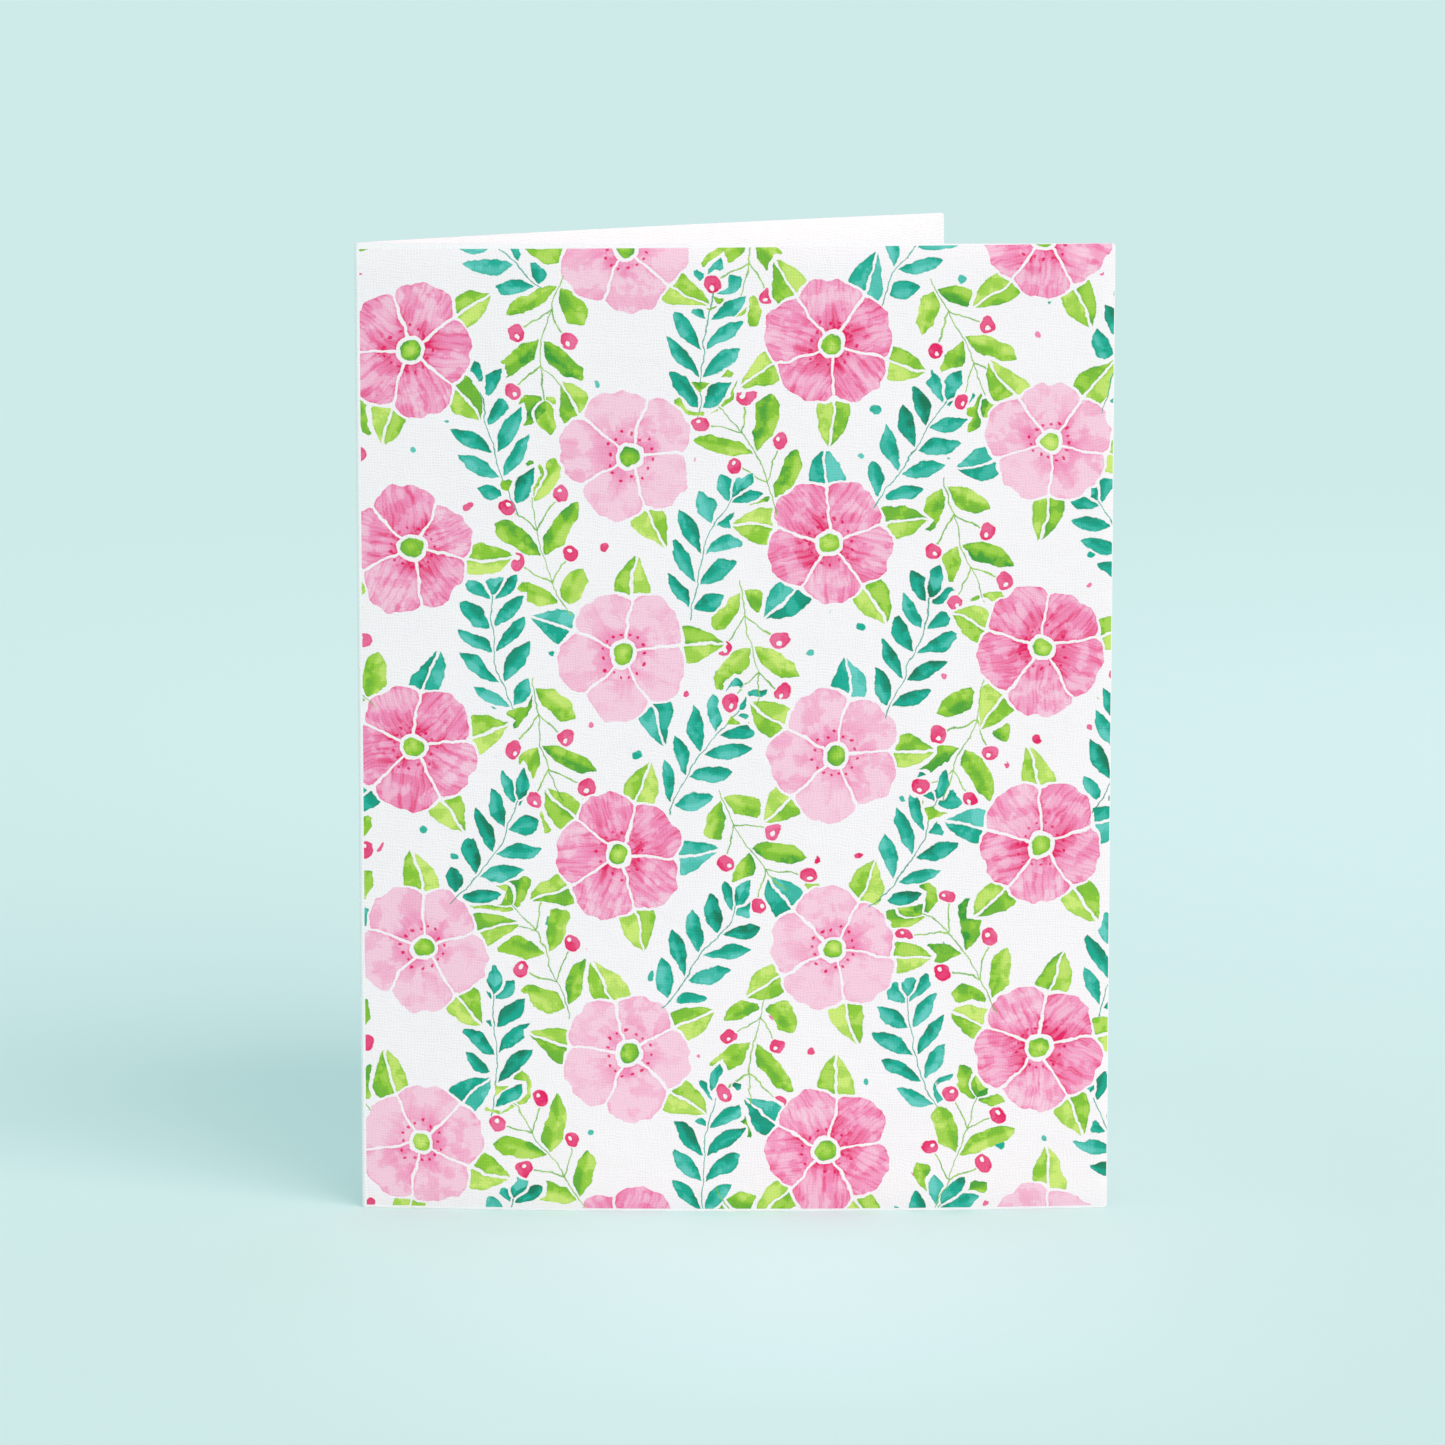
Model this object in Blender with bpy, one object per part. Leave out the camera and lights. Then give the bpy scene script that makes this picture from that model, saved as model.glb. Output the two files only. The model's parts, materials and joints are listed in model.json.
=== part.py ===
"""Folded greeting card standing part open on its bottom edges.

The real card is one sheet of heavy paper, scored down its middle. Here it is two stiff leaves that
turn about the fold: the front leaf carries the fold's round back, and the back leaf ends in a cove
that follows it, so that the spine stays closed at every angle. Each leaf bows outwards a little.

Sizes are in millimetres and meshes in metres. +Z is up, the front leaf faces -Y and the fold is on
the left, at -X."""

import math

import bmesh
import bpy

MM = 0.001
SAME_PLACE = 1e-6

# The sheet: each leaf is a quarter of a letter sheet, 4.25 by 5.5 inches
LEAF_WIDTH = 107.95
LEAF_HEIGHT = 139.7
LEAF_THICKNESS = 1.0
CORNER_RADIUS = 0.5

# How it stands: the angle between the leaves, and how far each bows off its chord
OPEN_ANGLE = math.radians(37.5)
FRONT_BOW = 2.8
BACK_BOW = 2.0

# Room at the fold: each inner face lies off the fold's axis, and the back leaf off the round back
FACE_SETBACK = 0.16
FOLD_CLEARANCE = 0.31

# Facets
LEAF_STEPS = 24
FOLD_STEP = math.radians(15)
COVE_STEPS = 5
CORNER_STEPS = 3
SHARP_ANGLE = math.radians(30)

# Finish of the two leaves
FRONT_COLOUR = (0.93, 0.66, 0.72, 1.0)
BACK_COLOUR = (0.92, 0.92, 0.93, 1.0)
PAPER_ROUGHNESS = 0.75


def bow_radius(bow):
    """Radius of an inner face that is LEAF_WIDTH long and stands `bow` off its chord."""
    return LEAF_WIDTH**2 / (8 * bow)


def arc_centre(radius):
    """Centre of a leaf's bow. The fold's axis is the origin, the chord runs along +X and the leaf
    bows towards +Y."""
    half_angle = LEAF_WIDTH / (2 * radius)
    return radius * math.sin(half_angle), FACE_SETBACK - radius * math.cos(half_angle)


def leaf_point(radius, along, out):
    """Point of a leaf's section, `along` the inner face from the fold and `out` from that face."""
    x, y = arc_centre(radius)
    angle = (along - LEAF_WIDTH / 2) / radius
    reach = radius + out
    return x + reach * math.sin(angle), y + reach * math.cos(angle)


def fold_radius():
    """Radius of the fold's round back, which meets the front leaf's outer face without a step."""
    radius = bow_radius(FRONT_BOW)
    return radius + LEAF_THICKNESS - math.hypot(*arc_centre(radius))


def meeting_point(radius, out, reach):
    """Where the face `out` from a leaf's inner face comes to `reach` from the fold's axis."""
    x, y = arc_centre(radius)
    distance = math.hypot(x, y)
    face = radius + out
    towards = (reach**2 - face**2 + distance**2) / (2 * distance)
    across = math.sqrt(reach**2 - towards**2)
    return (towards * x - across * y) / distance, (towards * y + across * x) / distance


def round_points(reach, first, last, steps):
    """Points on a circle about the fold's axis, between two angles and without those two."""
    angles = (first + (last - first) * i / steps for i in range(1, steps))
    return [(reach * math.cos(a), reach * math.sin(a)) for a in angles]


def front_root():
    """The front leaf's first inner and outer points, and the round back that runs between them."""
    radius = bow_radius(FRONT_BOW)
    reach = fold_radius()
    x, y = arc_centre(radius)
    outer_angle = math.atan2(-y, -x)
    outer = (reach * math.cos(outer_angle), reach * math.sin(outer_angle))
    inner = meeting_point(radius, 0, reach)
    inner_angle = math.atan2(inner[1], inner[0]) + 2 * math.pi
    steps = round((inner_angle - outer_angle) / FOLD_STEP)
    return inner, outer, round_points(reach, outer_angle, inner_angle, steps)


def back_root():
    """The back leaf's first inner and outer points, and the cove that runs between them."""
    radius = bow_radius(BACK_BOW)
    reach = fold_radius() + FOLD_CLEARANCE
    inner = meeting_point(radius, 0, reach)
    outer = meeting_point(radius, LEAF_THICKNESS, reach)
    outer_angle, inner_angle = (math.atan2(y, x) for x, y in (outer, inner))
    return inner, outer, round_points(reach, outer_angle, inner_angle, COVE_STEPS)


def leaf_mesh(name, bow, root, side):
    """One leaf, as its section drawn on the floor and raised to its height. `side` is the side of
    the chord that it bows to, 1 for +Y and -1 for -Y."""
    radius = bow_radius(bow)
    first_inner, first_outer, root_curve = root
    places = [LEAF_WIDTH * i / LEAF_STEPS for i in range(1, LEAF_STEPS + 1)]
    inner = [first_inner] + [leaf_point(radius, along, 0) for along in places]
    outer = [first_outer] + [leaf_point(radius, along, LEAF_THICKNESS) for along in places]

    mesh = bmesh.new()
    rows = [
        [mesh.verts.new((x * MM, side * y * MM, 0)) for x, y in points]
        for points in (inner, outer, root_curve)
    ]
    inner, outer, root_curve = rows
    for i in range(LEAF_STEPS):
        mesh.faces.new((inner[i], inner[i + 1], outer[i + 1], outer[i]))
    mesh.faces.new([inner[0], outer[0], *root_curve])
    raised = bmesh.ops.extrude_face_region(mesh, geom=list(mesh.faces))["geom"]
    top = [part for part in raised if isinstance(part, bmesh.types.BMVert)]
    bmesh.ops.translate(mesh, verts=top, vec=(0, 0, LEAF_HEIGHT * MM))
    round_corners(mesh, inner[-1].co.x)
    bmesh.ops.recalc_face_normals(mesh, faces=list(mesh.faces))

    data = bpy.data.meshes.new(name)
    mesh.to_mesh(data)
    mesh.free()
    data.shade_smooth()
    data.set_sharp_from_angle(angle=SHARP_ANGLE)
    return data


def round_corners(mesh, free_x):
    """Rounds the leaf's two free corners, at the edges that run through the sheet there."""
    end_edges = [
        edge for edge in mesh.edges if min(v.co.x for v in edge.verts) > free_x - SAME_PLACE
    ]
    across = [edge for edge in end_edges if edge.verts[0].co.z == edge.verts[1].co.z]
    bmesh.ops.bevel(
        mesh,
        geom=across,
        offset=CORNER_RADIUS * MM,
        offset_type="OFFSET",
        segments=CORNER_STEPS,
        profile=0.5,
        affect="EDGES",
    )


def paper(name, colour):
    """Matt heavy paper in one colour."""
    material = bpy.data.materials.new(name)
    material.use_nodes = True
    shader = material.node_tree.nodes["Principled BSDF"]
    shader.inputs["Base Color"].default_value = colour
    shader.inputs["Roughness"].default_value = PAPER_ROUGHNESS
    shader.inputs["Metallic"].default_value = 0.0
    material.diffuse_color = colour
    return material


def add_leaf(name, mesh, material, fold, turn):
    """Hangs a leaf on the fold's axis, turned about it."""
    leaf = bpy.data.objects.new(name, mesh)
    mesh.materials.append(material)
    bpy.context.collection.objects.link(leaf)
    leaf.parent = fold
    leaf.rotation_euler = (0, 0, turn)
    return leaf


def fold_place(leaves):
    """Where the fold's axis stands, so that the card's box is centred on the origin."""
    bpy.context.view_layer.update()
    corners = [leaf.matrix_world @ vertex.co for leaf in leaves for vertex in leaf.data.vertices]
    middle = [(min(c[i] for c in corners) + max(c[i] for c in corners)) / 2 for i in (0, 1)]
    return -middle[0], -middle[1], 0


def main():
    for obj in list(bpy.data.objects):
        bpy.data.objects.remove(obj, do_unlink=True)

    fold = bpy.data.objects.new("fold_axis", None)
    bpy.context.collection.objects.link(fold)
    front_mesh = leaf_mesh("front_leaf", FRONT_BOW, front_root(), -1)
    back_mesh = leaf_mesh("back_leaf", BACK_BOW, back_root(), 1)
    front = add_leaf("front_leaf", front_mesh, paper("printed_face", FRONT_COLOUR), fold, 0)
    back = add_leaf("back_leaf", back_mesh, paper("plain_face", BACK_COLOUR), fold, OPEN_ANGLE)
    fold.location = fold_place([front, back])
    bpy.context.view_layer.update()


main()
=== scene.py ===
"""Folded greeting card: one scored sheet of white linen-embossed card with a watercolour floral
front, standing part open on its bottom edges.

Sizes are in metres, and the places and sizes that the materials paint with are in millimetres."""

import json
import math

import bpy
from mathutils import Matrix, Vector


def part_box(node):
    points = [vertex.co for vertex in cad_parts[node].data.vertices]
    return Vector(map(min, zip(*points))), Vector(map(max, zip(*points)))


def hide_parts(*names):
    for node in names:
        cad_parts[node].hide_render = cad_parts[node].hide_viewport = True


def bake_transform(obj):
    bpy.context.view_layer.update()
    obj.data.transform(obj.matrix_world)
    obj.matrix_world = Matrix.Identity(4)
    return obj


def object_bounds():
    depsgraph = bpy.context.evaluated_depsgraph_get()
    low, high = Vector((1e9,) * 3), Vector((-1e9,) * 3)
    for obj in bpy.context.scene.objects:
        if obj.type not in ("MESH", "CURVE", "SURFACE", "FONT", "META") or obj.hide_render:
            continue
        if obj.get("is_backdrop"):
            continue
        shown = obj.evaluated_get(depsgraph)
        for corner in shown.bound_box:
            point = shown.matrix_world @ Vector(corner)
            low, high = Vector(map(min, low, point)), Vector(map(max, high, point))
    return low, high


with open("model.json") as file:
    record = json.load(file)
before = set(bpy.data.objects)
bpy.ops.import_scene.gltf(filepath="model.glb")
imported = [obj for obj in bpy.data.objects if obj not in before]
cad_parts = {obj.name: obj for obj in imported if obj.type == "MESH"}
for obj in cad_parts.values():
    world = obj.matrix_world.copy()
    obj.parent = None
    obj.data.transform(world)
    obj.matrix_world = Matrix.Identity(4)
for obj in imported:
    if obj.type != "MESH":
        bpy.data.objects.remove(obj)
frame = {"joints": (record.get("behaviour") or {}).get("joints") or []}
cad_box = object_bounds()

bl_info = {
    "name": "Folded Greeting Card",
    "version": (1, 0, 0),
    "blender": (4, 5, 0),
    "location": "3D View > Sidebar > Card",
    "description": "Adds a folded greeting card with a watercolour print, and a plain stage for it",
    "category": "Add Mesh",
}

MM = 0.001

# The fold, as the frame has it: an upright axis, with the front leaf along +X from it
FOLD_JOINT = frame["joints"][0]
FOLD_PLACE = Vector((*FOLD_JOINT["pos_m"][:2], 0))
OPEN_ANGLE = math.radians(-FOLD_JOINT["range_deg"][0])
CARD_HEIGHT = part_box("front_leaf")[1].z

# A quarter of a letter sheet is 4.25 inches wide
LEAF_WIDTH = 107.95 * MM

# How far each inner face lies off the fold's axis
FACE_SETBACK = 0.16 * MM

# Facets of the sheet
LEAF_COLUMNS = 56
FOLD_COLUMNS = 14
ROWS = 36
CORNER_STEPS = 5
BEVEL_STEPS = 2

# The least turn between faces that is bevelled, and the least that stays sharp
BEVEL_ANGLE = math.radians(50)
SMOOTH_ANGLE = math.radians(40)

# Places this near to each other count as one, on the cut sheet and beside a cut through it
SAME_PLACE = 1e-5
CUT_THRESHOLD = 1e-7

# The leaves' unevenness: the lengths of its waves, and how soon it sets in beside the fold
WAVE_ACROSS = 13 * MM
WAVE_UP = 31 * MM
WAVE_ONSET = 6

# The back leaf curls the other way, and less
BACK_CURL = -0.7

# How near to the free edge a cut face lies, and how far a cut or a printed face is turned outwards
END_REACH = 2 * MM
CUT_FACING = 0.6
PRINT_FACING = 0.3

# The sheet's map, which keeps each point's place on the flat sheet in mm
FLAT_MAP = "flat_sheet"

# Sheen and roughness of the papers
PAPER_SPECULAR = 0.3
PLAIN_ROUGHNESS = 0.72
CUT_ROUGHNESS = 0.8
PRINT_ROUGHNESS = 0.73

# The layout of the print. A cell of the repeat is a little lower than it is wide, and the other
# places are shares of that width and height: the first flower's, and the roomiest ones between
REPEAT_HEIGHT = 0.97
FIRST_FLOWER = 0.27, 0.31
SPRIG_ROOM = 0.385

# How wide a sprig's and a spray's leaves are, as half their breadth in mm
SPRIG_LEAF = 1.2
SPRAY_LEAF = 1.9

# Loose dots in mm: the distance between them, how far each strays, the size of the smallest, how
# much larger they come, and how far they keep from shapes and from stems
DOT_SPACING = 6.4
DOT_STRAY = 3.4
DOT_SIZE = 0.45
DOT_GROWTH = 0.35
DOT_ROOM = 1.8
DOT_STEM_ROOM = 0.9

# The share of the loose dots that is left out, and where teal begins among the others
DOTS_LEFT_OUT = 0.35
TEAL_DOTS = 0.65

# Outside every shape, in mm
FAR_OUTSIDE = 30

FULL_TURN = 2 * math.pi


def display(red, green, blue):
    """A linear colour from 8-bit display values."""

    def linear(level):
        level /= 255
        return level / 12.92 if level <= 0.04045 else ((level + 0.055) / 1.055) ** 2.4

    return linear(red), linear(green), linear(blue)


def shaded(colour, level):
    """A colour made lighter or darker."""
    return tuple(part * level for part in colour)


def colour_prop(name, description, default):
    return bpy.props.FloatVectorProperty(
        name=name, description=description, subtype="COLOR", size=3, min=0, max=1, default=default
    )


def length_prop(name, description, default_mm):
    return bpy.props.FloatProperty(
        name=name, description=description, unit="LENGTH", min=0, precision=5, default=default_mm * MM
    )


def strength_prop(name, description, default):
    return bpy.props.FloatProperty(name=name, description=description, min=0, default=default)


class CardSheet(bpy.types.PropertyGroup):
    """Sizes of the folded sheet."""

    thickness: length_prop("Thickness", "Thickness of the card stock", 0.42)
    corner_radius: length_prop("Corner radius", "Rounding of the four cut corners", 0.5)
    edge_softness: length_prop("Edge softness", "Rounding of the cut edges", 0.07)
    front_bow: length_prop("Front bow", "How far the front leaf bows out", 2.8)
    back_bow: length_prop("Back bow", "How far the back leaf bows out", 2.0)
    curl: length_prop("Curl", "How far the free corners stray from the bow", 0.25)
    ripple: length_prop("Ripple", "Height of the leaves' slight unevenness", 0.06)


class CardStock(bpy.types.PropertyGroup):
    """Colours and texture of the card stock."""

    white: colour_prop("White", "Colour of the card stock", (0.91, 0.91, 0.91))
    edge: colour_prop("Edge", "Colour of the cut edges", (0.86, 0.86, 0.86))
    emboss_pitch: length_prop("Emboss pitch", "Distance between linen lines", 0.42)
    emboss_depth: length_prop("Emboss depth", "Depth of the linen lines", 0.032)


class CardPrint(bpy.types.PropertyGroup):
    """Paint colours and layout of the printed front."""

    paper_tone: colour_prop("Ground", "Tone of the print's white ground", (0.998, 0.962, 0.971))
    pale_pink: colour_prop("Pale pink", "Thinnest pink wash", display(255, 210, 228))
    pink: colour_prop("Pink", "Middle pink wash", display(250, 146, 190))
    hot_pink: colour_prop("Hot pink", "Deepest pink wash", display(236, 14, 98))
    pale_teal: colour_prop("Pale teal", "Thinnest teal wash", display(104, 210, 198))
    teal: colour_prop("Teal", "Middle teal wash", display(0, 176, 150))
    deep_teal: colour_prop("Deep teal", "Deepest teal wash", display(0, 118, 82))
    pale_lime: colour_prop("Pale lime", "Thinnest lime wash", display(212, 240, 120))
    lime: colour_prop("Lime", "Middle lime wash", display(146, 206, 52))
    green: colour_prop("Green", "Deepest green wash", display(48, 156, 52))
    repeat: length_prop("Repeat", "Distance between neighbouring columns of flowers", 30)
    spine_margin: length_prop("Spine margin", "Bare strip beside the fold", 0.62)
    side_margin: length_prop("Side margin", "Bare strip at the free edge", 0.12)
    foot_margin: length_prop("Foot margin", "Bare strip at the bottom edge", 0.4)
    head_margin: length_prop("Head margin", "Bare wedge at the top, where it meets the fold", 0.9)


class CardStage(bpy.types.PropertyGroup):
    """Floor, lights and camera."""

    floor: colour_prop("Floor", "Colour of the floor", (0.67, 0.872, 0.84))
    sky: colour_prop("Surroundings", "Colour of the even light all round", (0.815, 0.977, 1.0))
    sky_strength: strength_prop("Surrounding light", "Strength of the even light all round", 0.762)
    key: colour_prop("Key colour", "Colour of the key and the back light", (1.0, 0.693, 0.7))
    key_strength: strength_prop("Key light", "Strength of the key light", 1.82)
    back_strength: strength_prop("Back light", "Strength of the low light from behind", 0.3)
    warm: colour_prop("Glow colour", "Colour of the two small lights over the floor", (1.0, 0.64, 0.92))
    front_power: strength_prop("Front glow", "Power of the small light in front of the card", 0.0068)
    side_power: strength_prop("Side glow", "Power of the small light to the right of the card", 0.1)


class Wire:
    """A node's output that can stand in a sum, where each operator adds its Math node."""

    def __init__(self, shader, socket):
        self.shader = shader
        self.socket = socket

    def math(self, operation, *others, clamp=False):
        settings = {"operation": operation, "use_clamp": clamp}
        return self.shader.node("ShaderNodeMath", settings, (self, *others))

    def __add__(self, other):
        return self.math("ADD", other)

    def __sub__(self, other):
        return self.math("SUBTRACT", other)

    def __mul__(self, other):
        return self.math("MULTIPLY", other)

    def __truediv__(self, other):
        return self.math("DIVIDE", other)

    def __rsub__(self, other):
        return self.shader.node("ShaderNodeMath", {"operation": "SUBTRACT"}, (other, self))

    def __neg__(self):
        return self.math("MULTIPLY", -1)

    __radd__ = __add__
    __rmul__ = __mul__

    def floor(self):
        return self.math("FLOOR")

    def fraction(self):
        return self.math("FRACT")

    def size(self):
        return self.math("ABSOLUTE")

    def sine(self):
        return self.math("SINE")

    def cosine(self):
        return self.math("COSINE")

    def angle(self, across):
        return self.math("ARCTAN2", across)

    def power(self, exponent):
        return self.math("POWER", exponent)

    def least(self, other):
        return self.math("MINIMUM", other)

    def most(self, other):
        return self.math("MAXIMUM", other)

    def above(self, level):
        """1 where this is over a level, otherwise 0."""
        return self.math("GREATER_THAN", level)

    def held(self):
        """Kept between 0 and 1."""
        return self.math("ADD", 0, clamp=True)

    def rise(self, low, high):
        """A smooth climb from 0 at one level to 1 at another."""
        settings = {"interpolation_type": "SMOOTHSTEP"}
        return self.shader.node("ShaderNodeMapRange", settings, (self, low, high, 0, 1))


class Shader:
    """A new material and its nodes."""

    def __init__(self, name):
        self.material = bpy.data.materials.new(name)
        self.material.use_nodes = True
        self.tree = self.material.node_tree
        self.surface = self.tree.nodes["Principled BSDF"]

    def node(self, kind, settings, values=(), out=0):
        """Adds a node. Its settings come first, with a ramp's stops among them, and then the
        values or wires of its sockets, in order or by their keys."""
        node = self.tree.nodes.new(kind)
        for name, setting in settings.items():
            if name == "stops":
                self.set_stops(node.color_ramp, setting)
            else:
                setattr(node, name, setting)
        self.join(node, values)
        return Wire(self, node.outputs[out])

    def join(self, node, values):
        """Gives sockets their values or wires."""
        pairs = values.items() if isinstance(values, dict) else enumerate(values)
        for key, value in pairs:
            socket = node.inputs[key]
            if isinstance(value, Wire):
                self.tree.links.new(value.socket, socket)
            elif socket.type == "RGBA":
                socket.default_value = (*value, 1)
            else:
                socket.default_value = value

    @staticmethod
    def set_stops(ramp, stops):
        """Gives a colour ramp its stops, as places and colours in order."""
        for _ in stops[2:]:
            ramp.elements.new(0.5)
        for element, (place, colour) in zip(ramp.elements, stops):
            element.position = place
            element.color = (*colour, 1)

    def vector(self, x, y, z=0.0):
        return self.node("ShaderNodeCombineXYZ", {}, (x, y, z))

    def parts(self, vector):
        """The three numbers of a vector or a colour."""
        node = self.node("ShaderNodeSeparateXYZ", {}, (vector,)).socket.node
        return [Wire(self, socket) for socket in node.outputs]

    def noise(self, place, scale, detail=2.0, roughness=0.5, out=0):
        values = {"Vector": place, "Scale": scale, "Detail": detail, "Roughness": roughness}
        return self.node("ShaderNodeTexNoise", {}, values, out)

    def chances(self, x, y, seed):
        """Three random numbers between 0 and 1 for each pair of whole numbers."""
        return self.parts(self.node("ShaderNodeTexWhiteNoise", {}, (self.vector(x, y, seed),), out=1))

    def mix(self, factor, first, second, mode="MIX"):
        settings = {"data_type": "RGBA", "blend_type": mode}
        return self.node("ShaderNodeMix", settings, {0: factor, 6: first, 7: second}, out=2)

    def ramp(self, value, *colours):
        """Evenly spaced colours along a value from 0 to 1."""
        last = len(colours) - 1
        stops = [(i / last, colour) for i, colour in enumerate(colours)]
        return self.node("ShaderNodeValToRGB", {"stops": stops}, (value,))

    def flat_place(self):
        """Place on the flat sheet in mm: across from the fold, and up from the bottom edge."""
        across, up, _ = self.parts(self.node("ShaderNodeUVMap", {"uv_map": FLAT_MAP}))
        return across, up


def linen_relief(shader, across, up, stock):
    """The stock's fine linen emboss: two crossed sets of broken lines, over soft fibres."""
    drift = shader.noise(shader.vector(across, up), 0.35, 1.0) * 1.4
    pitch = stock.emboss_pitch / MM
    lines = []
    for along, cross in ((across, up), (up, across)):
        waver = shader.noise(shader.vector(along * 0.25, cross * 3), 1.0, 1.0) * 0.12
        breaks = shader.noise(shader.vector(along * 0.5, cross * 2.4, 7), 1.0, 2.0)
        wave = ((cross + drift + waver) * (FULL_TURN / pitch)).sine()
        lines.append(wave * breaks.rise(0.3, 0.62))
    fibres = shader.noise(shader.vector(across, up), 5.0, 4.0, 0.6)
    return lines[0] * 0.5 + lines[1] * 0.35 + fibres * 0.9


def stock_colour(shader, across, up, stock):
    """Bright white card with the faint clouding of its fibres."""
    place = shader.vector(across, up, 3)
    cloud = shader.noise(place, 0.12, 3.0, 0.6).rise(0.3, 0.7)
    fleck = shader.noise(place, 2.2, 3.0, 0.7).rise(0.55, 0.8) * 0.5
    clouded = shader.mix(cloud, stock.white, shaded(stock.white, 0.985))
    return shader.mix(fleck, clouded, shaded(stock.white, 0.97))


def finish_paper(shader, colour, roughness, relief, depth):
    """Joins a paper's colour, sheen and relief to its surface."""
    bump = shader.node("ShaderNodeBump", {}, {"Strength": 1.0, "Distance": depth, "Height": relief})
    shader.join(shader.surface, {"Base Color": colour, "Roughness": roughness, "Normal": bump})
    shader.surface.inputs["Specular IOR Level"].default_value = PAPER_SPECULAR
    return shader.material


def plain_card(stock):
    """Unprinted card, for the inside, the fold and the back."""
    shader = Shader("white_linen_card")
    across, up = shader.flat_place()
    relief = linen_relief(shader, across, up, stock)
    colour = stock_colour(shader, across, up, stock)
    return finish_paper(shader, colour, relief * 0.03 + PLAIN_ROUGHNESS, relief, stock.emboss_depth)


def cut_card(stock):
    """The cut edge of the card, where the layers of fibre show."""
    shader = Shader("cut_card_edge")
    across, up = shader.flat_place()
    fibres = shader.noise(shader.vector(across, up, 5), 6.0, 3.0, 0.7)
    colour = shader.mix(fibres, stock.edge, shaded(stock.edge, 0.88))
    return finish_paper(shader, colour, fibres * 0.1 + CUT_ROUGHNESS, fibres, stock.emboss_depth)


class Watercolour:
    """Washes of paint on the flat sheet. A shape is given by its depth: how far inside its outline
    a place lies in mm, and below zero outside."""

    # How far outlines stray in broad and in close waves, and how soft they are
    BROAD_STRAY = 2.4
    CLOSE_STRAY = 0.5
    SOFTNESS = 0.15

    # Paint that gathers at the rim of a wash, how far in it thins, and how much lighter all is laid
    RIM_TONE = 0.2
    RIM_START = 0.05
    LIFT = 0.18

    # How fast a shape shrinks where it comes near another
    CROWDING = 0.9

    def __init__(self, shader, across, up, look):
        self.shader = shader
        place = shader.vector(across, up)
        broad = shader.parts(shader.noise(place, 0.16, 2.0, out=1))
        close = shader.parts(shader.noise(place, 1.1, 2.0, out=1))
        self.across = across + (broad[0] - 0.5) * self.BROAD_STRAY + (close[0] - 0.5) * self.CLOSE_STRAY
        self.up = up + (broad[1] - 0.5) * self.BROAD_STRAY + (close[1] - 0.5) * self.CLOSE_STRAY
        pools = shader.noise(place, 0.33, 3.0, 0.55)
        self.tides = pools.rise(0.47, 0.52) * 0.17 + pools.rise(0.3, 0.7) * 0.2
        self.grain = (shader.noise(place, 4.5, 3.0, 0.7) - 0.5) * 0.16
        self.taken = None
        self.lines = None
        self.painted = None
        self.colour = look.paper_tone

    def cells(self, width, height, drop, first):
        """Place within a cell of a half-drop repeat, and the cell's numbers. `drop` is the step up
        from a column to the next, and `first` the middle of the first cell."""
        column = (self.across - first[0]) / width + 0.5
        number = column.floor()
        row = (self.up - first[1] - number * drop) / height + 0.5
        x = (column.fraction() - 0.5) * width
        y = (row.fraction() - 0.5) * height
        return x, y, number, row.floor()

    def turned(self, x, y, angle):
        """A place turned about the middle of its cell."""
        cosine, sine = angle.cosine(), angle.sine()
        return x * cosine + y * sine, y * cosine - x * sine

    def distance(self, x, y):
        return (x * x + y * y).power(0.5)

    def petal(self, along, across, length, width, fullness, bluntness):
        """Depth in a petal or leaf that runs along from the origin. `width` is half its breadth,
        `fullness` moves its broadest place outwards and `bluntness` rounds its ends below 1."""
        share = (along / length).held()
        outline = (share.power(fullness) * math.pi).sine().most(0).power(bluntness) * width
        beyond = (along - length).most(-along).most(0)
        return outline - across.size() - beyond

    def clear_of(self, depth, gap, reach):
        """A depth cut back to stay a gap away from all that is painted so far, and shrunk within
        reach of it, so that no sliver is left."""
        crowding = (self.taken + reach).most(0) * self.CROWDING
        return depth.least(-self.taken - gap) - crowding

    def wash(self, depth, tone, colours, others=None, choice=None, rim=0.45, thin=False):
        """Lays a wash, darker along its outline and with tide lines and grain in it. `choice` picks
        the other colours. Only dots keep clear of a thin shape, such as a stem."""
        rim_tone = (1 - depth.rise(self.RIM_START, rim)) * self.RIM_TONE
        shade = (tone + self.tides + self.grain + rim_tone - self.LIFT).held()
        colour = self.shader.ramp(shade, *colours)
        if choice is not None:
            colour = self.shader.mix(choice, colour, self.shader.ramp(shade, *others))
        covered = depth.rise(0, self.SOFTNESS)
        self.colour = self.shader.mix(covered, self.colour, colour)
        self.painted = covered if self.painted is None else self.painted.most(covered)
        if thin:
            self.lines = depth if self.lines is None else self.lines.most(depth)
        else:
            self.taken = depth if self.taken is None else self.taken.most(depth)


def absent(present):
    """Takes a shape's depth far below zero where it isn't present."""
    return (1 - present) * FAR_OUTSIDE


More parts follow.
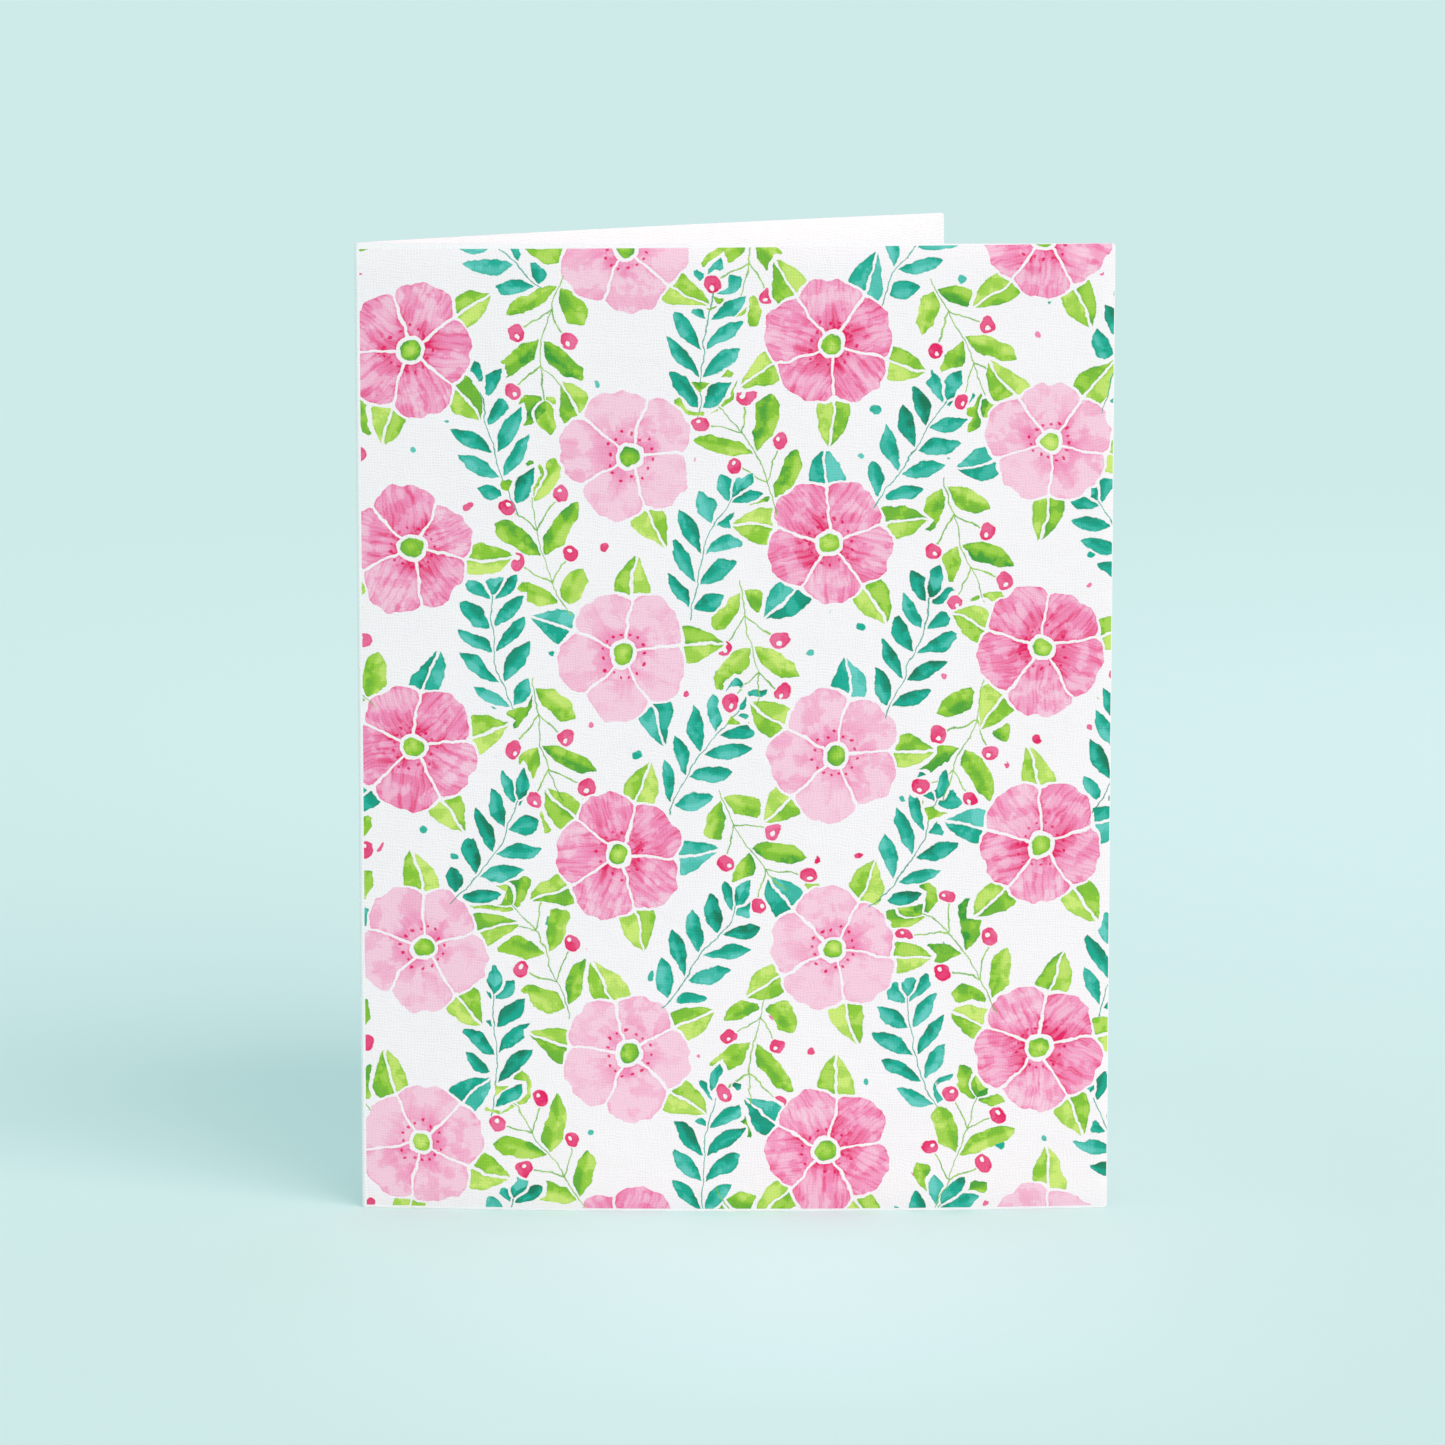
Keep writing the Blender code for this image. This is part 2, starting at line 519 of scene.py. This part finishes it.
class Flower:
    """The five-petalled flower of each cell. Petals, eye, stamens and leaves share its place."""

    # How many petals there are, and over how many mm the flowers' middles are scattered
    PETALS = 5
    SECTOR = FULL_TURN / PETALS
    SCATTER = 2

    # The petals: their least length, half their breadth, the notch in each, and half the bare line
    # between two
    RADIUS = 8.9
    PETAL_BREADTH = 4.5
    NOTCH_DEPTH = 0.7
    NOTCH_REACH = 1.6
    PARTING = 0.13

    # The eye, the bare ring round it, and the stamens: how many, how far out and how large
    EYE = 1.5
    EYE_GAP = 0.45
    STAMENS = 15
    STAMEN_REACH = 2.7
    STAMEN_RADIUS = 0.3

    # The leaves: where they begin, their length, half their breadth, and half their bare midrib
    LEAF_START = 5.2
    LEAF_LENGTH = 9.2
    LEAF_BREADTH = 2.6
    MIDRIB = 0.12

    # The shares of flowers in paler pink, of gaps without a leaf, and of leaves in teal
    PALE_SHARE = 0.52
    LEAFLESS_SHARE = 0.15
    TEAL_SHARE = 0.2

    def __init__(self, paint, cell):
        x, y, column, row = cell
        self.paint = paint
        self.cell = column, row
        self.spin, self.strength, self.size = paint.shader.chances(column, row, 1)
        x = x + (self.strength - 0.5) * self.SCATTER
        y = y + (self.size - 0.5) * self.SCATTER
        self.x, self.y = paint.turned(x, y, self.spin * FULL_TURN)
        self.reach = paint.distance(self.x, self.y)
        self.turn = self.y.angle(self.x) / self.SECTOR

    def spoke(self, start):
        """Place along and across the nearest of five spokes, the swing from it and its number."""
        number = (self.turn + start + 0.5).floor()
        swing = (self.turn + start - number) * self.SECTOR
        own = number.math("FLOORED_MODULO", self.PETALS)
        return self.reach * swing.cosine(), self.reach * swing.sine(), swing, own

    def petals(self, look):
        along, across, swing, number = self.spoke(0)
        column, row = self.cell
        pale, long, _ = self.paint.shader.chances(number, column * 7 + row, 2)
        notch = (1 - across.size().rise(0, self.NOTCH_REACH)) * self.NOTCH_DEPTH
        length = long + self.size * 0.6 + self.RADIUS
        outline = self.paint.petal(along + notch, across, length, self.PETAL_BREADTH, 1.45, 0.75)
        parting = self.reach * (self.SECTOR / 2 - swing.size()).sine() - self.PARTING
        ring = self.reach - (self.EYE + self.EYE_GAP)
        strokes = self.paint.shader.vector(across * 2.1, along * 0.16, number * 3.1)
        streaks = self.paint.shader.noise(strokes, 1.0, 2.0).rise(0.42, 0.68)
        heart = 1 - self.reach.rise(1.5, 6.5)
        vivid = self.strength.above(self.PALE_SHARE)
        tone = heart * 0.34 + streaks * (vivid * 0.22 + 0.1) + pale * 0.22 + vivid * 0.28
        depth = outline.least(parting).least(ring)
        self.paint.wash(depth, tone - 0.13, (look.pale_pink, look.pink, look.hot_pink))

    def eye(self, look):
        tone = self.reach.rise(0, 1.2) * 0.35 + self.size * 0.3
        depth = self.EYE - self.reach
        self.paint.wash(depth, tone, (look.pale_lime, look.lime, look.green))

    def stamens(self, look):
        """A ring of small deep dots on the petals, near the eye."""
        turn = self.turn * (self.STAMENS / self.PETALS)
        number = (turn + 0.5).floor()
        swing = (turn - number) * (FULL_TURN / self.STAMENS)
        far = self.paint.shader.chances(number, self.cell[0] + self.cell[1] * 3, 5)[0]
        dot = self.paint.distance(self.reach - (far * 0.9 + self.STAMEN_REACH), self.reach * swing)
        depth = self.STAMEN_RADIUS - dot
        self.paint.wash(depth, far * 0.2 + 0.85, (look.pink, look.hot_pink), rim=0.2)

    def leaves(self, look):
        """Leaves that show between some of the petals, with a bare midrib."""
        along, across, _, number = self.spoke(0.5)
        column, row = self.cell
        here, kind, lean = self.paint.shader.chances(number, column * 5 + row * 3, 4)
        across = across + (along - 6) * (along - 6) * (lean - 0.5) * 0.06
        beyond = along - self.LEAF_START
        leaf = self.paint.petal(beyond, across, self.LEAF_LENGTH, self.LEAF_BREADTH, 0.9, 0.9)
        depth = self.paint.clear_of(leaf.least(across.size() - self.MIDRIB), 0.25, 0.7)
        tone = across.rise(-0.3, 0.3) * 0.3 + lean * 0.25 + 0.03
        teals = look.pale_teal, look.teal, look.deep_teal
        limes = look.pale_lime, look.lime, look.green
        depth = depth - absent(here.above(self.LEAFLESS_SHARE))
        self.paint.wash(depth, tone, teals, limes, kind.above(self.TEAL_SHARE))


class Sprig:
    """A stem with pairs of leaves or berries, in the room between the flowers. Each pair sits in a
    slanting band that runs up and out from the stem."""

    # The bands' height, where the lowest begins, and how many there are
    STEP = 4.0
    FOOT = -11
    PAIRS = 5

    # The leaf at the tip, and the stem as half its width and length and its middle's place
    TIP_START = 7.9
    TIP_LENGTH = 4.8
    STEM_WIDTH = 0.19
    STEM_LENGTH = 9.2
    STEM_DROP = 1.2

    # The berries: their least distance from the stem, their radius, the light in them, half a
    # stalk's width, and how far before the berry's middle the stalk ends
    BERRY_REACH = 5
    BERRY_RADIUS = 1.25
    BERRY_LIGHT = 0.24
    STALK_WIDTH = 0.17
    STALK_GAP = 1.3

    def __init__(self, paint, cell, seed, flip):
        x, y, column, row = cell
        self.paint = paint
        lean, self.tone, flipped = paint.shader.chances(column, row, seed)
        angle = (lean - 0.5) * 1.4 + flipped.above(1 - flip) * math.pi
        x, self.y = paint.turned(x, y, angle)
        self.x = x + self.y * self.y * (self.tone - 0.5) * 0.04
        self.side = self.x.size()
        band = (self.y - self.FOOT - self.side) / self.STEP
        self.number = band.floor()
        self.offset = (band.fraction() - 0.5) * (self.STEP * math.sqrt(0.5))
        self.reach = self.side * math.sqrt(2) + self.offset
        inside = self.number.above(-0.5) * (1 - self.number.above(self.PAIRS - 0.5))
        self.outside = absent(inside)
        column_side = column * 2 + self.x.above(0)
        self.own = paint.shader.chances(self.number, column_side + row * 9, seed + 1)
        self.berry_reach = self.own[0] + self.BERRY_REACH

    def leaf_pairs(self, colours, width, only=None):
        """Leaves in the bands, or in every other band, and one at the tip."""
        length = self.own[0] - (self.number - 1.6).size() * 1.2 + (4.6 + width * 2)
        leaf = self.paint.petal(self.reach - 0.4, self.offset, length, width, 1.1, 0.8)
        if only is not None:
            leaf = leaf - absent(only)
        tip = self.paint.petal(self.y - self.TIP_START, self.x, self.TIP_LENGTH, width, 1.0, 0.8)
        pairs = (leaf - self.outside).least(-tip - 0.3)
        depth = self.paint.clear_of(pairs.most(tip), 0.1, 1.4)
        tone = self.offset.rise(-0.4, 0.4) * 0.3 + self.own[1] * 0.4 + self.tone * 0.2
        self.paint.wash(depth, tone, colours)

    def stem(self, colours):
        ends = self.STEM_LENGTH - (self.y + self.STEM_DROP).size()
        depth = (self.STEM_WIDTH - self.side).least(ends)
        self.paint.wash(depth - 0.04, self.tone * 0.2 + 0.5, colours, rim=0.1, thin=True)

    def berry_pairs(self, colours, only):
        """A round berry with a bare light in it, in each band where leaves don't sit."""
        beyond = self.reach - self.berry_reach
        berry = self.BERRY_RADIUS - self.paint.distance(beyond, self.offset)
        light = self.paint.distance(beyond - 0.2, self.offset - 0.4) - self.BERRY_LIGHT
        depth = berry.least(light) - self.outside - absent(only)
        self.paint.wash(self.paint.clear_of(depth, 0.1, 0.7), self.own[1] * 0.35 + 0.5, colours)

    def stalks(self, colours, only):
        """The berries' stalks."""
        end = self.berry_reach - self.STALK_GAP - self.reach
        stalk = (self.STALK_WIDTH - self.offset.size()).least(end)
        depth = stalk - self.outside - absent(only)
        self.paint.wash(self.paint.clear_of(depth, 0, 0.1), 0.6, colours, rim=0.1, thin=True)


def loose_dots(paint, look):
    """Small dabs of paint in the room that is left."""
    x, y, column, row = paint.cells(DOT_SPACING, DOT_SPACING, DOT_SPACING * 0.37, (2, 1))
    first, second, third = paint.shader.chances(column, row, 21)
    centre_x = x + (first - 0.5) * DOT_STRAY
    centre_y = y + (second - 0.5) * DOT_STRAY
    depth = third * DOT_GROWTH + DOT_SIZE - paint.distance(centre_x, centre_y)
    pinks = look.pink, look.hot_pink
    teals = look.pale_teal, look.teal
    kind = paint.shader.chances(column, row, 22)[0]
    depth = depth.least(-paint.lines - DOT_STEM_ROOM) - absent(kind.above(DOTS_LEFT_OUT))
    depth = paint.clear_of(depth, 0, DOT_ROOM)
    paint.wash(depth, third, pinks, teals, kind.above(TEAL_DOTS), rim=0.3)


def print_area(across, up, look):
    """1 where the sheet is printed, and 0 on the bare strips along its edges. The print is laid
    a little askew, so the strip at the top is a wedge."""
    width = LEAF_WIDTH / MM
    height = CARD_HEIGHT / MM
    wedge = (1 - across / width) * (look.head_margin / MM)
    edges = (
        across - look.spine_margin / MM,
        (width - look.side_margin / MM) - across,
        up - look.foot_margin / MM,
        height - wedge - up,
    )
    inside = edges[0].least(edges[1]).least(edges[2]).least(edges[3])
    return inside.rise(-0.03, 0.03)


def printed_card(stock, look):
    """The printed front: watercolour flowers, leaves and sprigs on the white card."""
    shader = Shader("floral_print_card")
    across, up = shader.flat_place()
    paint = Watercolour(shader, across, up, look)
    width = look.repeat / MM
    height = width * REPEAT_HEIGHT
    drop = height / 2
    first = width * FIRST_FLOWER[0], height * FIRST_FLOWER[1]
    flower = Flower(paint, paint.cells(width, height, drop, first))
    flower.petals(look)
    flower.eye(look)
    flower.leaves(look)

    # The roomiest places between the flowers take a sprig each
    room = width * SPRIG_ROOM
    upper = first[0] + room, first[1] + drop
    lower = first[0] + width - room, first[1]
    teals = look.pale_teal, look.teal, look.deep_teal
    limes = look.pale_lime, look.lime, look.green
    pinks = look.pink, look.hot_pink
    sprig = Sprig(paint, paint.cells(width, height, drop, upper), 9, 0.0)
    spray = Sprig(paint, paint.cells(width, height, drop, lower), 13, 0.5)
    berry_band = (spray.number * 0.5).fraction().above(0.25)
    spray.berry_pairs(pinks, berry_band)
    sprig.leaf_pairs(teals, SPRIG_LEAF)
    sprig.stem(teals)
    spray.leaf_pairs(limes, SPRAY_LEAF, 1 - berry_band)
    spray.stalks(limes, berry_band)
    spray.stem(limes)
    loose_dots(paint, look)
    flower.stamens(look)

    printed = print_area(across, up, look)
    white = stock_colour(shader, across, up, stock)
    colour = shader.mix(printed, white, paint.colour, mode="MULTIPLY")
    relief = linen_relief(shader, across, up, stock)
    roughness = PRINT_ROUGHNESS - paint.painted * printed * 0.1
    return finish_paper(shader, colour, roughness, relief, stock.emboss_depth)


class Leaf:
    """Where one leaf's inner face runs, seen from above with the fold's axis at the origin: an arc
    from the fold to the free edge. `side` is the side of its chord that the leaf bows to."""

    def __init__(self, bow, side, turn):
        self.radius = LEAF_WIDTH**2 / (8 * bow)
        self.side = side
        self.turn = Matrix.Rotation(turn, 2)
        self.half = LEAF_WIDTH / (2 * self.radius)
        self.middle = Vector(
            (self.radius * math.sin(self.half), FACE_SETBACK - self.radius * math.cos(self.half))
        )
        # The arc begins where it is nearest to the fold's axis, at the fold's inner radius
        self.start = self.half - math.atan2(self.middle.x, -self.middle.y)
        self.fold_radius = self.radius - self.middle.length

    def place(self, along, out=0.0):
        """Place `along` the inner face from the fold, and `out` from that face."""
        angle = self.start - self.half + along / self.radius
        reach = self.radius + out
        x = self.middle.x + reach * math.sin(angle)
        y = self.middle.y + reach * math.cos(angle)
        return self.turn @ Vector((x, self.side * y))

    def root_angle(self):
        """Direction from the fold's axis to the arc's start."""
        root = self.place(0)
        return math.atan2(root.y, root.x) % FULL_TURN


class Fold:
    """The whole sheet's inner face, seen from above: the front leaf, the bend and the back leaf."""

    def __init__(self, look):
        self.front = Leaf(look.front_bow, -1, 0)
        self.back = Leaf(look.back_bow, 1, OPEN_ANGLE)
        self.radius = self.front.fold_radius
        self.first_angle = self.back.root_angle()
        self.last_angle = self.front.root_angle()
        self.bend = (self.last_angle - self.first_angle) * (self.radius + look.thickness / 2)

    def place(self, across, out):
        """Place of a point that lay `across` from the fold on the flat sheet."""
        beyond = abs(across) - self.bend / 2
        if beyond >= 0:
            return (self.front if across > 0 else self.back).place(beyond, out)
        share = across / self.bend + 0.5
        angle = self.first_angle + (self.last_angle - self.first_angle) * share
        return Vector((math.cos(angle), math.sin(angle))) * (self.radius + out)

    def ends(self):
        """Each free edge's place, with the direction in which it looks."""
        for across in (LEAF_WIDTH, -LEAF_WIDTH):
            end = self.place(across, 0)
            yield end, (end - self.place(across * 0.99, 0)).normalized()


def select_only(obj):
    """Deselects all else and makes this active."""
    bpy.ops.object.select_all(action="DESELECT")
    obj.select_set(True)
    bpy.context.view_layer.objects.active = obj


def cut_sheet(look, fold):
    """The flat sheet as it is cut, upright in the XZ plane with its fold at X = 0: a grid with
    close columns at the fold and round corners."""
    bpy.ops.object.select_all(action="DESELECT")
    bpy.ops.mesh.primitive_grid_add(
        x_subdivisions=2 * LEAF_COLUMNS,
        y_subdivisions=ROWS,
        size=1,
        location=(0, 0, CARD_HEIGHT / 2),
        rotation=(math.pi / 2, 0, 0),
    )
    sheet = bpy.context.object
    sheet.scale = (2 * LEAF_WIDTH, CARD_HEIGHT, 1)
    bpy.ops.object.transform_apply()

    bpy.ops.object.mode_set(mode="EDIT")
    bpy.ops.mesh.select_mode(type="VERT")
    for i in range(FOLD_COLUMNS + 1):
        place = fold.bend * (i / FOLD_COLUMNS - 0.5)
        bpy.ops.mesh.select_all(action="SELECT")
        bpy.ops.mesh.bisect(plane_co=(place, 0, 0), plane_no=(1, 0, 0), threshold=CUT_THRESHOLD)
    bpy.ops.mesh.select_all(action="DESELECT")
    bpy.ops.object.mode_set(mode="OBJECT")
    for vertex in sheet.data.vertices:
        at_side = LEAF_WIDTH - abs(vertex.co.x) < SAME_PLACE
        at_end = min(vertex.co.z, CARD_HEIGHT - vertex.co.z) < SAME_PLACE
        vertex.select = at_side and at_end
    bpy.ops.object.mode_set(mode="EDIT")
    bpy.ops.mesh.bevel(offset=look.corner_radius, segments=CORNER_STEPS, affect="VERTICES")
    bpy.ops.object.mode_set(mode="OBJECT")
    return sheet


def map_flat_sheet(sheet):
    """Keeps each point's place on the flat sheet, which the materials paint by."""
    for layer in list(sheet.data.uv_layers):
        sheet.data.uv_layers.remove(layer)
    places = sheet.data.uv_layers.new(name=FLAT_MAP).data
    for loop in sheet.data.loops:
        place = sheet.data.vertices[loop.vertex_index].co
        places[loop.index].uv = (place.x / MM, place.z / MM)


def fold_sheet(sheet, look, fold):
    """Bends the flat sheet at its fold, with its leaves bowed and a little uneven."""
    for vertex in sheet.data.vertices:
        across, up = vertex.co.x, vertex.co.z
        share = abs(across) / LEAF_WIDTH
        lean = math.sin(math.pi * (up / CARD_HEIGHT - 0.5)) * (1 if across > 0 else BACK_CURL)
        wave = math.sin(across / WAVE_ACROSS + up / WAVE_UP) * min(share * WAVE_ONSET, 1)
        plan = fold.place(across, look.curl * share**2 * lean + look.ripple * wave)
        vertex.co = (plan.x, plan.y, up)


def thicken_sheet(sheet, look):
    """Gives the sheet its thickness, outwards from the inner face, and softens its cut edges."""
    select_only(sheet)
    bpy.ops.object.mode_set(mode="EDIT")
    bpy.ops.mesh.select_all(action="SELECT")
    bpy.ops.mesh.normals_make_consistent(inside=False)
    bpy.ops.object.mode_set(mode="OBJECT")
    on_front = Vector((LEAF_WIDTH / 2, 0, CARD_HEIGHT / 2))
    front = min(sheet.data.polygons, key=lambda face: (face.center - on_front).length)
    if front.normal.y > 0:
        sheet.data.flip_normals()

    solid = sheet.modifiers.new("thickness", "SOLIDIFY")
    solid.thickness = look.thickness
    solid.offset = 1
    solid.use_even_offset = True
    bevel = sheet.modifiers.new("soft_edges", "BEVEL")
    bevel.width = look.edge_softness
    bevel.segments = BEVEL_STEPS
    bevel.limit_method = "ANGLE"
    bevel.angle_limit = BEVEL_ANGLE
    for modifier in (solid, bevel):
        bpy.ops.object.modifier_apply(modifier=modifier.name)


def dress_sheet(sheet, fold, materials):
    """Gives each face its material. The front leaf's outer face is printed, and the cut edges are
    bare."""
    for material in materials:
        sheet.data.materials.append(material)
    printed, plain, cut = range(len(materials))
    ends = list(fold.ends())
    places = sheet.data.uv_layers[FLAT_MAP].data
    for face in sheet.data.polygons:
        across = sum(places[i].uv.x for i in face.loop_indices)
        at_end = any(
            (face.center.xy - end).length < END_REACH and face.normal.xy.dot(way) > CUT_FACING
            for end, way in ends
        )
        if at_end or abs(face.normal.z) > CUT_FACING:
            face.material_index = cut
        elif across > 0 and face.normal.y < -PRINT_FACING:
            face.material_index = printed
        else:
            face.material_index = plain


class CARD_OT_folded_sheet(bpy.types.Operator):
    """Add the folded sheet with its printed front, at the frame's fold"""

    bl_idname = "card.folded_sheet"
    bl_label = "Folded Sheet"

    def execute(self, context):
        scene = context.scene
        look = scene.card_sheet
        fold = Fold(look)
        sheet = cut_sheet(look, fold)
        sheet.name = sheet.data.name = "folded_card"
        map_flat_sheet(sheet)
        fold_sheet(sheet, look, fold)
        thicken_sheet(sheet, look)
        stock = scene.card_stock
        materials = printed_card(stock, scene.card_print), plain_card(stock), cut_card(stock)
        dress_sheet(sheet, fold, materials)
        sheet.data.transform(Matrix.Translation(FOLD_PLACE))
        select_only(sheet)
        bpy.ops.object.shade_smooth_by_angle(angle=SMOOTH_ANGLE)

        # Two places on either side of the fold's axis, along the line that halves the opening, are
        # worked out but not used
        between = Vector((-math.sin(OPEN_ANGLE / 2), math.cos(OPEN_ANGLE / 2), 0))
        reach = between * (fold.radius + look.thickness)
        FOLD_PLACE - reach
        FOLD_PLACE + reach
        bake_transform(sheet)
        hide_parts("front_leaf", "back_leaf")
        return {"FINISHED"}


# The photograph's view, worked out from the card's corners and edges in it
CAMERA_PLACE = (0.00065, -0.9497, 0.20345)
CAMERA_DOWN = 0.14334
CAMERA_TURN = 0.00255
CAMERA_LENS = 161.2

# Where the two suns come from, as degrees to the right of the camera's side and degrees up, with
# their spread. The back light is low, so that it lights the card's back and hardly the floor.
KEY_LIGHT = (40, 31), 58
BACK_LIGHT = (200, 3), 8

# The two small lights: place, width and depth in metres, and spread in degrees
FRONT_GLOW = (0.008, -0.058, 0.4), (0.01, 0.16), 24
SIDE_GLOW = (0.23, 0.4, 0.42), (0.3, 0.3), 130
FLOOR_SIZE = 60


def towards(azimuth, elevation):
    """The direction to a light from the card. Azimuth 0 is the camera's side and 90 the right."""
    a, e = math.radians(azimuth), math.radians(elevation)
    return Vector((math.sin(a) * math.cos(e), -math.cos(a) * math.cos(e), math.sin(e)))


def facing(direction):
    """The turn that makes a light shine against a direction."""
    return direction.to_track_quat("Z", "Y").to_euler()


def painted_floor(colour):
    """Even matt floor."""
    shader = Shader("pale_floor")
    place = shader.node("ShaderNodeTexCoord", {}, out=3)
    cloud = shader.noise(place, 3.0, 2.0)
    shader.join(shader.surface, {"Base Color": shader.mix(cloud, colour, shaded(colour, 0.99))})
    shader.join(shader.surface, {"Roughness": 0.9, "Specular IOR Level": 0.0})
    return shader.material


class CARD_OT_stage(bpy.types.Operator):
    """Add the floor, the soft lights and the camera"""

    bl_idname = "card.stage"
    bl_label = "Stage"

    def execute(self, context):
        scene = context.scene
        look = scene.card_stage
        bpy.ops.object.select_all(action="DESELECT")
        bpy.ops.mesh.primitive_plane_add(size=FLOOR_SIZE)
        floor = context.object
        floor.name = "floor"
        floor.data.materials.append(painted_floor(look.floor))
        floor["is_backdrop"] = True

        world = bpy.data.worlds.new("surroundings")
        world.use_nodes = True
        background = world.node_tree.nodes["Background"]
        background.inputs["Color"].default_value = (*look.sky, 1)
        background.inputs["Strength"].default_value = look.sky_strength
        scene.world = world

        suns = (KEY_LIGHT, look.key_strength), (BACK_LIGHT, look.back_strength)
        for (direction, spread), strength in suns:
            bpy.ops.object.light_add(type="SUN", rotation=facing(towards(*direction)))
            sun = context.object.data
            sun.energy = strength
            sun.color = look.key
            sun.angle = math.radians(spread)
        glows = (FRONT_GLOW, look.front_power), (SIDE_GLOW, look.side_power)
        for (place, size, spread), power in glows:
            bpy.ops.object.light_add(type="AREA", location=place)
            glow = context.object.data
            glow.energy = power
            glow.color = look.warm
            glow.shape = "RECTANGLE"
            glow.size, glow.size_y = size
            glow.spread = math.radians(spread)

        bpy.ops.object.camera_add(
            location=CAMERA_PLACE, rotation=(math.pi / 2 - CAMERA_DOWN, 0, CAMERA_TURN)
        )
        scene.camera = context.object
        scene.camera.data.lens = CAMERA_LENS
        scene.view_settings.view_transform = "Standard"
        return {"FINISHED"}


class CARD_PT_panel(bpy.types.Panel):
    """Lists the card's sizes and colours with the operators that use them"""

    bl_idname = "CARD_PT_panel"
    bl_label = "Greeting Card"
    bl_space_type = "VIEW_3D"
    bl_region_type = "UI"
    bl_category = "Card"

    def draw(self, context):
        scene = context.scene
        pieces = (
            ("card.folded_sheet", (scene.card_sheet, scene.card_stock, scene.card_print)),
            ("card.stage", (scene.card_stage,)),
        )
        for operator, groups in pieces:
            box = self.layout.box()
            for group in groups:
                for name in group.__annotations__:
                    box.prop(group, name)
            box.operator(operator)


GROUPS = {
    "card_sheet": CardSheet,
    "card_stock": CardStock,
    "card_print": CardPrint,
    "card_stage": CardStage,
}
CLASSES = (*GROUPS.values(), CARD_OT_folded_sheet, CARD_OT_stage, CARD_PT_panel)


def register():
    for item in CLASSES:
        bpy.utils.register_class(item)
    for name, group in GROUPS.items():
        setattr(bpy.types.Scene, name, bpy.props.PointerProperty(type=group))


def unregister():
    for name in GROUPS:
        delattr(bpy.types.Scene, name)
    for item in reversed(CLASSES):
        bpy.utils.unregister_class(item)


def main():
    register()
    bpy.ops.card.folded_sheet()
    bpy.ops.card.stage()
    boxes = {"cad": cad_box, "visual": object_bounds()}
    {name: [list(corner) for corner in box] for name, box in boxes.items()}


if __name__ == "__main__":
    main()
